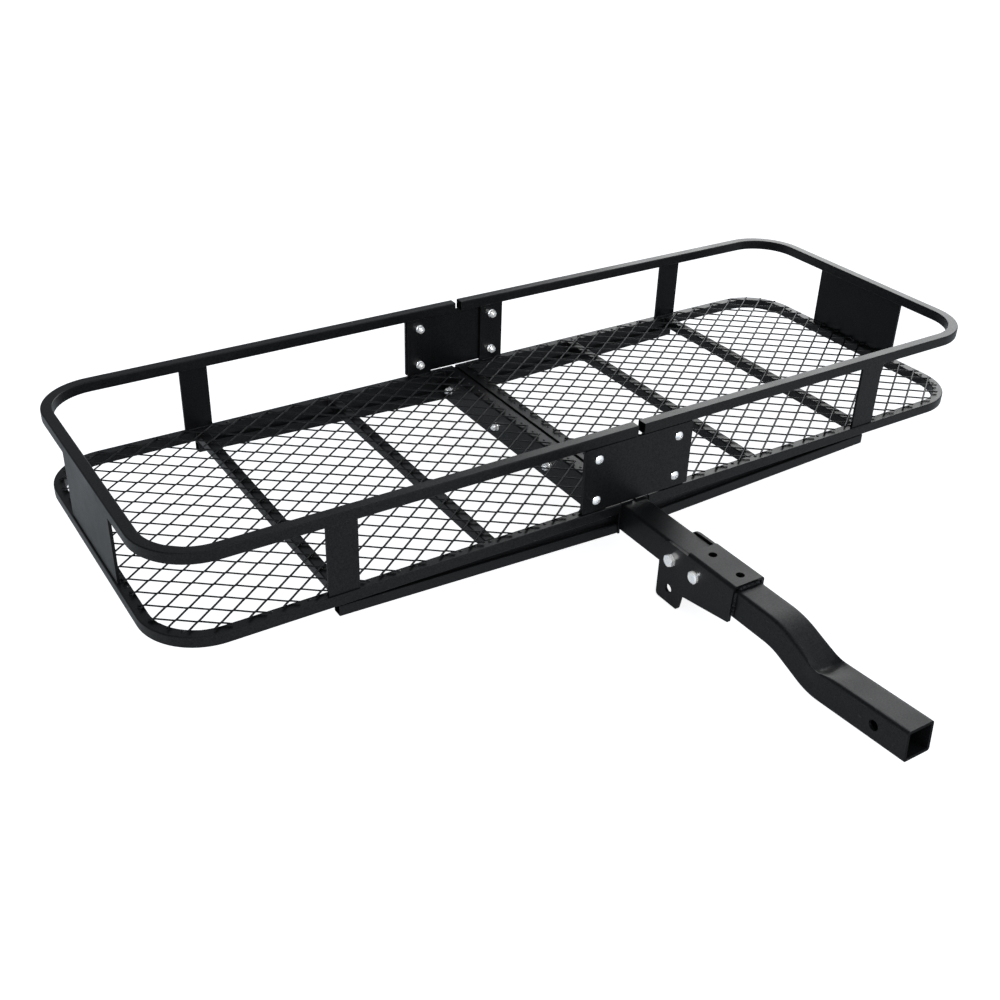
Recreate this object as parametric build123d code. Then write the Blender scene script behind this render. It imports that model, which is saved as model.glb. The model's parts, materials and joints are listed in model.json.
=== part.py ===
from build123d import *

import os
from math import atan2, cos, hypot, radians, sin, tan

# Folding basket cargo carrier for a 2 in receiver hitch.
#
# Frame: the origin is the centre of the hitch pin hole in the shank.  X runs along the
# basket's length, +Y points away from the vehicle, +Z is up.  The basket is level; the
# shank's receiver end is pitched a few degrees, as it sits in a level receiver when the
# basket is tipped up slightly towards its rear.  All sizes are in millimetres.

# ---- stock ---------------------------------------------------------------------------
RAIL = 19.05                 # square rail tube, 3/4 in
RAIL_WALL = 1.6
RAIL_CORNER = 2.2
TUBE = 50.8                  # square hitch tube, 2 in
TUBE_WALL = 4.8
TUBE_CORNER = 4.5
FLAT = 5.0                   # flat bar and plate
ANGLE_THICK = 4.0            # centre angles
CLEAR = 0.08                 # radial running clearance of the pivot
FIT = 0.05                   # radial room between a nut or washer and its bolt

# ---- basket --------------------------------------------------------------------------
BASKET_LENGTH = 1640.0
BASKET_WIDTH = 600.0
BASKET_HEIGHT = 160.0        # underside of the lower rail to the top of the upper rail
BEND_RADIUS = 100.0          # outer radius of the rails' corners, seen from above
UPPER_GAP = 13.0             # between the cut ends of the two upper rails
BASKET_CENTRE_Y = 870.0      # from the hitch pin hole to the middle of the basket
TUBE_AXIS_Z = 21.0           # centre tube's axis above the hitch pin hole

POST_X = 537.0               # middle of the outer posts and of the outer cross bars
POST_WIDTH = 50.8
POST_SETBACK = 3.0
END_PLATE_WIDTH = 222.0
SPLICE_POST_X = 82.0
SPLICE_LENGTH = 220.0
SPLICE_TOP_GAP = 0.5         # between a splice plate and the upper rails
SPLICE_BOTTOM_GAP = 3.0      # between a splice plate and the lower rails
SPLICE_CORNER = 3.0
SPLICE_BOLT_PITCH = 76.2
INNER_BAR_X = 275.0

ANGLE_SPLIT = 6.5            # between the two centre angles
ANGLE_DROP = 60.0            # height of an angle's upright leg
UNDER_RAIL_END_X = 546.0
UNDER_RAIL_SETBACK = 4.0
UNDER_RAIL_GAP = 3.5         # between the rails at the under rail's outer end
UNDER_RAIL_FALL = 18.5       # how far an under rail drops towards the centre tube
UNDER_WEB = 3.0              # thickness of the strip that closes the gap between the rails

MESH_LONG = 52.4             # long way of a diamond, along X
MESH_SHORT = 37.7            # short way of a diamond, along Y
MESH_STRAND = 3.2
MESH_START = (-15.6, 3.3)    # one crossing of strands, from the split and the basket's middle
MESH_THICK = 2.4
MESH_INSET = 10.5            # from a rail's outer face to the cut edge of the mesh
MESH_CENTRE_X = 17.0         # from the split to the cut edge of the mesh

# ---- hinge and shank -----------------------------------------------------------------
PIVOT_Y = 431.4
LOCK_RADIUS = 56.0           # from the pivot to the stop bolt and to the lock hole
HINGE_BOLT = 12.7
HINGE_WASHER = 25.4
HINGE_WASHER_THICK = 2.5
HINGE_NUT = 19.05            # across the flats
HINGE_NUT_HEIGHT = 11.0
HINGE_HEAD_HEIGHT = 8.0
STOP_HEAD = 21.0             # round head of the stop bolt
STOP_HEAD_HEIGHT = 6.0
LOCK_HOLE = 15.5
TUBE_NOSE = 75.0             # centre tube's end beyond the pivot
EAR_GAP = 0.8                # between the tube's side and a bracket ear
TOP_GAP = 3.0                # between the tube's top and the bracket's top plate
BRACKET_BEND = 6.0
BRACKET_HOLE = 14.0
BRACKET_HOLE_PITCH = 63.5
BRACKET_FIRST_HOLE = 59.0    # from the pivot to the nearer hole in the top plate
BRACKET_LENGTH = 143.5       # from the pivot to the bracket's vehicle end
TOP_PLATE_START = 36.5       # from the pivot to the rear edge of the top plate
EAR_REAR = 28.6

SHANK_PITCH = 3.9            # degrees, receiver end to the basket
SHANK_START = 84.0           # from the pivot to the shank's rear end
SHANK_UPPER_BEND_Y = 197.0
SHANK_LOWER_BEND_Y = 120.0
SHANK_UPPER_RADIUS = 120.0
SHANK_LOWER_RADIUS = 80.0
PIN_TO_END = 57.0
HITCH_PIN_HOLE = 16.7

# ---- fasteners -----------------------------------------------------------------------
SPLICE_BOLT = 8.0
SPLICE_HOLE = 9.0
SPLICE_HEAD = 16.0
SPLICE_HEAD_HEIGHT = 4.4
SPLICE_WASHER_THICK = 1.6
SPLICE_NUT_HEIGHT = 6.8
SOCKET_FLATS = 5.0           # hexagon socket in a splice bolt's head
SOCKET_DEPTH = 2.6
TRAY_BOLT = 8.0
TRAY_HOLE = 9.0
TRAY_NUT = 13.0              # across the flats, also of the tray bolt's head
TRAY_WASHER = 16.0
TRAY_WASHER_THICK = 1.6
TRAY_NUT_HEIGHT = 6.8
TRAY_HEAD_HEIGHT = 5.3
TRAY_BOLT_PITCH = 173.0
TRAY_BOLT_DROP = 4.0         # below the tube's axis
THREAD_END = 4.0             # how far a bolt reaches past its nut

# ---- levels worked out from the above ------------------------------------------------
TUBE_TOP = TUBE_AXIS_Z + TUBE / 2
FLOOR_TOP = TUBE_TOP + ANGLE_THICK          # top of the lower rails and centre angles
RAIL_BOTTOM = FLOOR_TOP - RAIL
RIM_TOP = RAIL_BOTTOM + BASKET_HEIGHT
RIM_BOTTOM = RIM_TOP - RAIL
FLANGE_X = TUBE / 2 + ANGLE_THICK           # outer face of a centre angle
EAR_X = TUBE / 2 + EAR_GAP + FLAT           # outer face of a bracket ear


# ---- helpers -------------------------------------------------------------------------
def rounded_path(points, radii):
    """A wire through the points, with an arc of each inner point's own radius."""
    edges = []
    start = Vector(*points[0])
    for before, corner, after, radius in zip(points, points[1:], points[2:], radii):
        corner = Vector(*corner)
        back = (Vector(*before) - corner).normalized()
        ahead = (Vector(*after) - corner).normalized()
        half = back.get_angle(ahead) / 2
        reach = radius / tan(radians(half))
        middle = (back + ahead).normalized() * (radius / sin(radians(half)) - radius)
        entry = corner + back * reach
        leave = corner + ahead * reach
        edges.append(Edge.make_line(start, entry))
        edges.append(Edge.make_three_point_arc(entry, corner + middle, leave))
        start = leave
    edges.append(Edge.make_line(start, Vector(*points[-1])))
    return Wire(edges)


def tube_section(plane, size, wall, corner):
    """A square tube's section on a plane."""
    outer = RectangleRounded(size, size, corner)
    inner = RectangleRounded(size - 2 * wall, size - 2 * wall, max(corner - wall, 0.5))
    return plane * (outer - inner)


def box(x0, x1, y0, y1, z0, z1):
    """A box between two corners, in any order."""
    size = (abs(x1 - x0), abs(y1 - y0), abs(z1 - z0))
    return Pos((x0 + x1) / 2, (y0 + y1) / 2, (z0 + z1) / 2) * Box(*size)


def x_rod(diameter, x0, x1, y, z):
    """A round bar along X."""
    length = abs(x1 - x0)
    return Pos((x0 + x1) / 2, y, z) * Rot(0, 90, 0) * Cylinder(diameter / 2, length)


def y_rod(diameter, y0, y1, x, z):
    """A round bar along Y."""
    length = abs(y1 - y0)
    return Pos(x, (y0 + y1) / 2, z) * Rot(90, 0, 0) * Cylinder(diameter / 2, length)


def hexagon_prism(across_flats, height):
    """A hexagon prism standing on the origin, its top corners turned off."""
    prism = extrude(RegularPolygon(across_flats / 2, 6, major_radius=False), height)
    crown = 0.28 * across_flats
    turned = Cylinder(across_flats / 2 + crown, height, align=(Align.CENTER, Align.CENTER, Align.MIN))
    turned = chamfer(turned.edges().group_by(Axis.Z)[-1], length=crown * 0.55, length2=crown)
    return prism & turned


def ring(outer, bore, height):
    """A flat ring standing on the origin."""
    disc = Cylinder(outer / 2, height, align=(Align.CENTER, Align.CENTER, Align.MIN))
    return disc - Cylinder(bore / 2, 4 * height)


def facing(direction, x, y, z):
    """A place whose local Z points along +X, -X, +Y or -Y."""
    turns = {"+x": Rot(0, 90, 0), "-x": Rot(0, -90, 0), "+y": Rot(-90, 0, 0), "-y": Rot(90, 0, 0)}
    return Pos(x, y, z) * turns[direction]


def hex_nut(thread, across_flats, height):
    """A plain hexagon nut standing on the origin."""
    return hexagon_prism(across_flats, height) - Cylinder(thread / 2 + FIT, 4 * height)


def mirrored(shape):
    """The same piece on the other half of the basket."""
    return mirror(shape, about=Plane.YZ)


def flipped(shape):
    """The same piece on the other long side of the basket."""
    return mirror(shape, about=Plane.XZ.offset(-BASKET_CENTRE_Y))


# ---- basket rails --------------------------------------------------------------------
def u_rail(end_x, z):
    """A U-shaped rail of the left half, its middle at height z, with open ends."""
    x = -(BASKET_LENGTH / 2 - RAIL / 2)
    y = BASKET_WIDTH / 2 - RAIL / 2
    front, rear = BASKET_CENTRE_Y - y, BASKET_CENTRE_Y + y
    corners = [(-end_x, front, z), (x, front, z), (x, rear, z), (-end_x, rear, z)]
    path = rounded_path(corners, [BEND_RADIUS - RAIL / 2] * 2)
    plane = Plane(origin=corners[0], x_dir=(0, 1, 0), z_dir=(-1, 0, 0))
    return sweep(tube_section(plane, RAIL, RAIL_WALL, RAIL_CORNER), path=path)


def cross_bar(x):
    """A square tube under the floor, between the front and rear lower rails."""
    reach = BASKET_WIDTH / 2 - RAIL
    plane = Plane(origin=(x, BASKET_CENTRE_Y - reach, RAIL_BOTTOM + RAIL / 2),
                  x_dir=(1, 0, 0), z_dir=(0, 1, 0))
    return extrude(tube_section(plane, RAIL, RAIL_WALL, RAIL_CORNER), 2 * reach)


def under_rail():
    """The left front rail that rises from the centre angle to the outer post, with the strip
    that closes the gap up to the lower rail."""
    low = RAIL_BOTTOM - UNDER_RAIL_GAP - RAIL
    face = BASKET_CENTRE_Y - BASKET_WIDTH / 2 + UNDER_RAIL_SETBACK
    ends = [(-FLANGE_X, low - UNDER_RAIL_FALL), (-UNDER_RAIL_END_X, low)]

    def plate(below, above, y0, y1):
        outline = [(x, face + y0, z) for x, z in below]
        outline += [(x, face + y0, z) for x, z in reversed(above)]
        return extrude(Face(Wire.make_polygon(outline)), y1 - y0, dir=(0, 1, 0))

    def bar(bottom, top, y0, y1):
        return plate([(x, z + bottom) for x, z in ends], [(x, z + top) for x, z in ends], y0, y1)

    outer = bar(0, RAIL, 0, RAIL)
    long_edges = [e for e in outer.edges() if e.length > UNDER_RAIL_END_X / 2]
    outer = fillet(long_edges, RAIL_CORNER)
    tube = outer - bar(RAIL_WALL, RAIL - RAIL_WALL, RAIL_WALL, RAIL - RAIL_WALL)
    middle = RAIL / 2
    web = plate([(x, z + RAIL - RAIL_WALL / 2) for x, z in ends],
                [(x, RAIL_BOTTOM) for x, z in ends], middle - UNDER_WEB / 2, middle + UNDER_WEB / 2)
    return tube + web


def centre_angle():
    """The left angle that lies on the centre tube and closes the basket's inner end."""
    reach = BASKET_WIDTH / 2 - 2
    section = Polyline(
        (-ANGLE_SPLIT / 2, TUBE_TOP), (-ANGLE_SPLIT / 2, FLOOR_TOP), (-FLANGE_X, FLOOR_TOP),
        (-FLANGE_X, FLOOR_TOP - ANGLE_DROP), (-TUBE / 2, FLOOR_TOP - ANGLE_DROP),
        (-TUBE / 2, TUBE_TOP), close=True)
    plane = Plane(origin=(0, BASKET_CENTRE_Y - reach, 0), x_dir=(1, 0, 0), z_dir=(0, -1, 0))
    angle = extrude(plane * make_face(section), -2 * reach)
    corner = [e for e in angle.edges()
              if e.length > reach and abs(e.center().X + FLANGE_X) < 0.1
              and abs(e.center().Z - FLOOR_TOP) < 0.1]
    angle = fillet(corner, 3.0)
    for y in tray_bolt_places():
        angle -= x_rod(TRAY_HOLE, -FLANGE_X - 5, -5, y, TUBE_AXIS_Z - TRAY_BOLT_DROP)
    return angle


# ---- uprights and plates -------------------------------------------------------------
def upright(x, width, setback):
    """A flat bar on the front side, between the lower and upper rails."""
    face = BASKET_CENTRE_Y - BASKET_WIDTH / 2 + setback
    return box(x - width / 2, x + width / 2, face, face + FLAT, FLOOR_TOP, RIM_BOTTOM)


def end_plate():
    """The wide plate in the middle of the left end."""
    face = -BASKET_LENGTH / 2 + POST_SETBACK
    half = END_PLATE_WIDTH / 2
    return box(face, face + FLAT, BASKET_CENTRE_Y - half, BASKET_CENTRE_Y + half,
               FLOOR_TOP, RIM_BOTTOM)


def splice_bolt_places():
    """X and Z of the four bolts of one splice plate."""
    middle = (FLOOR_TOP + RIM_BOTTOM) / 2
    return [(x, middle + side * SPLICE_BOLT_PITCH / 2)
            for x in (-SPLICE_POST_X, SPLICE_POST_X) for side in (-1, 1)]


def splice_post():
    """The left front upright that the splice plate is bolted to."""
    post = upright(-SPLICE_POST_X, POST_WIDTH, FLAT)
    front = BASKET_CENTRE_Y - BASKET_WIDTH / 2
    for x, z in splice_bolt_places():
        post -= y_rod(SPLICE_HOLE, front, front + 4 * FLAT, x, z)
    return post


def splice_plate():
    """The front plate that joins the two halves."""
    front = BASKET_CENTRE_Y - BASKET_WIDTH / 2
    plate = box(-SPLICE_LENGTH / 2, SPLICE_LENGTH / 2, front, front + FLAT,
                FLOOR_TOP + SPLICE_BOTTOM_GAP, RIM_BOTTOM - SPLICE_TOP_GAP)
    plate = fillet(plate.edges().filter_by(Axis.Y), SPLICE_CORNER)
    for x, z in splice_bolt_places():
        plate -= y_rod(SPLICE_HOLE, front - FLAT, front + 2 * FLAT, x, z)
    return plate


# ---- floor ---------------------------------------------------------------------------
def floor_mesh():
    """The left half of the expanded metal floor, as a flat sheet with diamond openings."""
    x_end = -(BASKET_LENGTH / 2 - MESH_INSET)
    y_end = BASKET_WIDTH / 2 - MESH_INSET
    corner = BEND_RADIUS - MESH_INSET
    length = -x_end - MESH_CENTRE_X
    outline = Pos(-MESH_CENTRE_X - length / 2, 0) * Rectangle(length, 2 * y_end)
    outline = fillet(outline.vertices().group_by(Axis.X)[0], corner)

    slope = atan2(MESH_SHORT, MESH_LONG)
    half_x = MESH_LONG / 2 - MESH_STRAND / 2 / sin(slope)
    half_y = MESH_SHORT / 2 - MESH_STRAND / 2 / cos(slope)
    openings = []
    crossing = []
    for x, y in diamond_centres(x_end, y_end):
        tips = [(x + half_x, y), (x, y + half_y), (x - half_x, y), (x, y - half_y)]
        diamond = Wire.make_polygon([(tip_x, tip_y, 0) for tip_x, tip_y in tips])
        if all(in_outline(*tip, x_end, y_end, corner) for tip in tips):
            openings.append(diamond)
        else:
            crossing.append(Face(diamond))
    sheet = outline - crossing
    sheet = max(sheet.faces(), key=lambda face: face.area)
    sheet = Face(sheet.outer_wire(), list(sheet.inner_wires()) + openings)
    return Pos(0, BASKET_CENTRE_Y, FLOOR_TOP) * extrude(sheet, MESH_THICK, dir=(0, 0, 1))


def diamond_centres(x_end, y_end):
    """The middles of all diamonds that touch the left floor's bounding rectangle."""
    start_x, start_y = MESH_START
    step_x, step_y = MESH_LONG / 2, MESH_SHORT / 2
    centres = []
    for column in range(int(x_end / step_x) - 1, 2):
        for row in range(-int(y_end / step_y) - 2, int(y_end / step_y) + 3):
            if (column + row) % 2:
                centres.append((start_x + column * step_x, start_y + row * step_y))
    return centres


def in_outline(x, y, x_end, y_end, corner):
    """Whether a point is well inside the left floor's rounded outline."""
    if x > -MESH_CENTRE_X - 1 or x < x_end + 1 or abs(y) > y_end - 1:
        return False
    over_x = max(0.0, x_end + corner - x)
    over_y = max(0.0, abs(y) - (y_end - corner))
    return hypot(over_x, over_y) < corner - 1


# ---- centre tube, hinge and shank ----------------------------------------------------
def tray_bolt_places():
    """Y of the four bolts through the centre tube."""
    return [BASKET_CENTRE_Y + step * TRAY_BOLT_PITCH for step in (-1.5, -0.5, 0.5, 1.5)]


def centre_tube():
    """The square tube under the split, from the hinge to the basket's rear side."""
    nose = PIVOT_Y - TUBE_NOSE
    tail = BASKET_CENTRE_Y + BASKET_WIDTH / 2 - 3
    plane = Plane(origin=(0, nose, TUBE_AXIS_Z), x_dir=(1, 0, 0), z_dir=(0, 1, 0))
    tube = extrude(tube_section(plane, TUBE, TUBE_WALL, TUBE_CORNER), tail - nose)
    for y in tray_bolt_places():
        tube -= x_rod(TRAY_HOLE, -TUBE, TUBE, y, TUBE_AXIS_Z - TRAY_BOLT_DROP)
    tube -= x_rod(HINGE_BOLT + 2 * CLEAR, -TUBE, TUBE, PIVOT_Y, TUBE_AXIS_Z)
    return tube - stop_slot()


def stop_slot():
    """The arc slot that rides up off the stop bolt as the basket folds."""
    width = HINGE_BOLT + 0.8
    sweep_angle = 50
    inner, outer = LOCK_RADIUS - width / 2, LOCK_RADIUS + width / 2
    far = 1.4 * outer
    ring_face = Circle(outer) - Circle(inner)
    wedge = make_face(Polyline((0, 0), (-far, 0), (-far, far * tan(radians(sweep_angle))),
                               close=True))
    slot = (ring_face & wedge) + Pos(-LOCK_RADIUS, 0) * Circle(width / 2)
    plane = Plane(origin=(TUBE, PIVOT_Y, TUBE_AXIS_Z), x_dir=(0, 1, 0), z_dir=(1, 0, 0))
    return extrude(plane * slot, -2 * TUBE)


def ear_outline():
    """Side outline of the hinge bracket, as (Y, Z) from the pivot."""
    top = TUBE / 2 + TOP_GAP
    outline = Polyline(
        (EAR_REAR, top), (-TOP_PLATE_START, top), (-TOP_PLATE_START, top + FLAT),
        (-BRACKET_LENGTH, top + FLAT), (-BRACKET_LENGTH + 2, -33.0), (-32.0, -51.5),
        (-26.0, -84.5), (EAR_REAR, -84.5), close=True)
    face = make_face(outline)

    def near(y, z):
        return face.vertices().sort_by_distance((y, z, 0))[0]

    for place, radius in (((EAR_REAR, top), 25.0), ((EAR_REAR, -84.5), 9.0),
                          ((-26.0, -84.5), 11.0), ((-32.0, -51.5), 5.0),
                          ((-BRACKET_LENGTH + 2, -33.0), 3.0)):
        face = fillet(near(*place), radius)
    return face


def hinge_bracket():
    """The folded plate that is welded to the shank and carries the pivot."""
    top = TUBE / 2 + TOP_GAP
    width = 2 * EAR_X
    outer = Pos(0, top + FLAT - 60) * RectangleRounded(width, 120, BRACKET_BEND)
    hollow = Pos(0, top - 80) * RectangleRounded(width - 2 * FLAT, 160, 1.5)
    keep = Pos(0, -30) * Rectangle(3 * width, 2 * (top + FLAT + 32))
    length = BRACKET_LENGTH + EAR_REAR
    plane = Plane(origin=(0, PIVOT_Y - BRACKET_LENGTH, TUBE_AXIS_Z), x_dir=(1, 0, 0),
                  z_dir=(0, -1, 0))
    channel = extrude(plane * ((outer & keep) - hollow), -length)
    side = Plane(origin=(EAR_X + 5, PIVOT_Y, TUBE_AXIS_Z), x_dir=(0, 1, 0), z_dir=(1, 0, 0))
    bracket = channel & extrude(side * ear_outline(), -2 * EAR_X - 10)
    bracket -= box(-EAR_X + FLAT, EAR_X - FLAT, PIVOT_Y - TOP_PLATE_START, PIVOT_Y + 60,
                   TUBE_AXIS_Z, TUBE_AXIS_Z + TUBE)
    for step in (0, 1):
        y = PIVOT_Y - BRACKET_FIRST_HOLE - step * BRACKET_HOLE_PITCH
        bracket -= Pos(0, y, TUBE_AXIS_Z + top) * Cylinder(BRACKET_HOLE / 2, 4 * FLAT)
    bracket -= x_rod(HINGE_BOLT + 2 * CLEAR, -TUBE, TUBE, PIVOT_Y, TUBE_AXIS_Z)
    bracket -= x_rod(HINGE_BOLT + 2 * CLEAR, -TUBE, TUBE, PIVOT_Y - LOCK_RADIUS, TUBE_AXIS_Z)
    bracket -= x_rod(LOCK_HOLE, -TUBE, TUBE, PIVOT_Y, TUBE_AXIS_Z - LOCK_RADIUS)
    return bracket


def shank():
    """The bent square tube that goes into the receiver."""
    fall = tan(radians(SHANK_PITCH))
    points = [(0, PIVOT_Y - SHANK_START, TUBE_AXIS_Z),
              (0, SHANK_UPPER_BEND_Y, TUBE_AXIS_Z),
              (0, SHANK_LOWER_BEND_Y, -SHANK_LOWER_BEND_Y * fall),
              (0, -PIN_TO_END * cos(radians(SHANK_PITCH)), PIN_TO_END * sin(radians(SHANK_PITCH)))]
    path = rounded_path(points, [SHANK_UPPER_RADIUS, SHANK_LOWER_RADIUS])
    plane = Plane(origin=points[0], x_dir=(1, 0, 0), z_dir=(0, -1, 0))
    bar = sweep(tube_section(plane, TUBE, TUBE_WALL, TUBE_CORNER), path=path)
    return bar - x_rod(HITCH_PIN_HOLE, -TUBE, TUBE, 0, 0)


# ---- fasteners -----------------------------------------------------------------------
def hinge_bolt(y, head):
    """A hinge bolt along X, its head on the left ear."""
    tip = EAR_X + HINGE_WASHER_THICK + HINGE_NUT_HEIGHT + THREAD_END
    shaft = x_rod(HINGE_BOLT, -EAR_X, tip, y, TUBE_AXIS_Z)
    shaft = chamfer(shaft.edges().group_by(Axis.X)[-1], 1.2)
    return shaft + facing("-x", -EAR_X, y, TUBE_AXIS_Z) * head


def hinge_washer(y):
    """The washer of a hinge bolt, on the right ear."""
    washer = ring(HINGE_WASHER, HINGE_BOLT + 2 * FIT, HINGE_WASHER_THICK)
    return facing("+x", EAR_X, y, TUBE_AXIS_Z) * washer


def hinge_nut(y):
    """A hinge bolt's nut, on the right ear's washer."""
    nut = hex_nut(HINGE_BOLT, HINGE_NUT, HINGE_NUT_HEIGHT)
    return facing("+x", EAR_X + HINGE_WASHER_THICK, y, TUBE_AXIS_Z) * nut


def round_head(diameter, height):
    """A flat round head with a turned edge."""
    head = Cylinder(diameter / 2, height, align=(Align.CENTER, Align.CENTER, Align.MIN))
    return chamfer(head.edges().group_by(Axis.Z)[-1], length=1.6, length2=2.6)


def splice_sites():
    """Each splice bolt as (facing inwards, X, Y of the plate's outer face, Z)."""
    half = BASKET_WIDTH / 2
    sides = (("+y", BASKET_CENTRE_Y - half), ("-y", BASKET_CENTRE_Y + half))
    return [(turn, x, y, z) for turn, y in sides for x, z in splice_bolt_places()]


def splice_bolt():
    """A domed bolt with a hexagon socket, its shaft along local +Z from the plate's face."""
    reach = 2 * FLAT + SPLICE_WASHER_THICK + SPLICE_NUT_HEIGHT + THREAD_END
    dome_radius = (SPLICE_HEAD ** 2 / 4 + SPLICE_HEAD_HEIGHT ** 2) / (2 * SPLICE_HEAD_HEIGHT)
    cap = Pos(0, 0, dome_radius - SPLICE_HEAD_HEIGHT) * Sphere(dome_radius)
    cap &= Pos(0, 0, -SPLICE_HEAD_HEIGHT) * Cylinder(
        SPLICE_HEAD, SPLICE_HEAD_HEIGHT, align=(Align.CENTER, Align.CENTER, Align.MIN))
    socket = extrude(RegularPolygon(SOCKET_FLATS / 2, 6, major_radius=False), 2 * SOCKET_DEPTH)
    cap -= Pos(0, 0, -SPLICE_HEAD_HEIGHT - SOCKET_DEPTH) * socket
    shaft = Cylinder(SPLICE_BOLT / 2, reach, align=(Align.CENTER, Align.CENTER, Align.MIN))
    shaft = chamfer(shaft.edges().group_by(Axis.Z)[-1], 0.8)
    return cap + shaft


def tray_bolt(y):
    """A hexagon bolt through both centre angles and the tube, its head on the right."""
    seat = FLANGE_X + TRAY_WASHER_THICK
    tip = seat + TRAY_NUT_HEIGHT + THREAD_END
    z = TUBE_AXIS_Z - TRAY_BOLT_DROP
    shaft = x_rod(TRAY_BOLT, -tip, seat, y, z)
    shaft = chamfer(shaft.edges().group_by(Axis.X)[0], 1.0)
    return shaft + facing("+x", seat, y, z) * hexagon_prism(TRAY_NUT, TRAY_HEAD_HEIGHT)


# ---- all pieces ----------------------------------------------------------------------
def basket_half():
    """The pieces of the left half, by the part of their name after left_."""
    rim = (RIM_TOP + RIM_BOTTOM) / 2
    front_post = upright(-POST_X, POST_WIDTH, POST_SETBACK)
    lower_middle = RAIL_BOTTOM + RAIL / 2
    return {
        "upper_rail": u_rail(UPPER_GAP / 2, rim),
        "lower_rail": u_rail(FLANGE_X, lower_middle),
        "end_plate": end_plate(),
        "front_post": front_post,
        "rear_post": flipped(front_post),
        "front_splice_post": splice_post(),
        "rear_splice_post": flipped(splice_post()),
        "front_under_rail": under_rail(),
        "rear_under_rail": flipped(under_rail()),
        "outer_cross_bar": cross_bar(-POST_X),
        "inner_cross_bar": cross_bar(-INNER_BAR_X),
        "centre_angle": centre_angle(),
        "floor_mesh": floor_mesh(),
    }


def fasteners():
    """The fasteners, identical ones as a group of separate solids."""
    tray_z = TUBE_AXIS_Z - TRAY_BOLT_DROP
    splice_washer = Pos(0, 0, 2 * FLAT) * ring(16.0, SPLICE_BOLT + 2 * FIT, SPLICE_WASHER_THICK)
    splice_nut = hex_nut(SPLICE_BOLT, 13.0, SPLICE_NUT_HEIGHT)
    splice_nut = Pos(0, 0, 2 * FLAT + SPLICE_WASHER_THICK) * splice_nut
    tray_washer = ring(TRAY_WASHER, TRAY_BOLT + 2 * FIT, TRAY_WASHER_THICK)
    tray_nut = hex_nut(TRAY_BOLT, TRAY_NUT, TRAY_NUT_HEIGHT)
    stop_y = PIVOT_Y - LOCK_RADIUS
    ys = tray_bolt_places()
    return {
        "splice_bolts": [facing(*site) * splice_bolt() for site in splice_sites()],
        "splice_washers": [facing(*site) * splice_washer for site in splice_sites()],
        "splice_nuts": [facing(*site) * splice_nut for site in splice_sites()],
        "tray_bolts": [tray_bolt(y) for y in ys],
        "tray_washers": [facing(turn, side * FLANGE_X, y, tray_z) * tray_washer
                         for turn, side in (("+x", 1), ("-x", -1)) for y in ys],
        "tray_nuts": [facing("-x", -FLANGE_X - TRAY_WASHER_THICK, y, tray_z) * tray_nut
                      for y in ys],
        "pivot_bolt": [hinge_bolt(PIVOT_Y, hexagon_prism(HINGE_NUT, HINGE_HEAD_HEIGHT))],
        "pivot_nut": [hinge_nut(PIVOT_Y)],
        "pivot_washer": [hinge_washer(PIVOT_Y)],
        "stop_bolt": [hinge_bolt(stop_y, round_head(STOP_HEAD, STOP_HEAD_HEIGHT))],
        "stop_nut": [hinge_nut(stop_y)],
        "stop_washer": [hinge_washer(stop_y)],
    }


def single(shape):
    """The one solid of a shape."""
    solids = shape.solids()
    if len(solids) != 1:
        raise ValueError(f"{len(solids)} solids where one was expected")
    return solids[0]


def all_nodes():
    """Every node's solids, by name."""
    nodes = {}
    for name, shape in basket_half().items():
        nodes["left_" + name] = [single(shape)]
        nodes["right_" + name] = [single(mirrored(shape))]
    front_plate = splice_plate()
    nodes["front_splice_plate"] = [single(front_plate)]
    nodes["rear_splice_plate"] = [single(flipped(front_plate))]
    nodes["centre_tube"] = [single(centre_tube())]
    nodes["hinge_bracket"] = [single(hinge_bracket())]
    nodes["shank"] = [single(shank())]
    for name, shapes in fasteners().items():
        nodes[name] = [single(shape) for shape in shapes]
    return nodes


os.makedirs("parts", exist_ok=True)
for node, solids in all_nodes().items():
    shape = solids[0] if len(solids) == 1 else Compound(children=solids)
    export_step(shape, f"parts/{node}.step")
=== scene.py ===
import json
import math
import random

import bmesh
import bpy
from mathutils import Matrix, Vector


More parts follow.
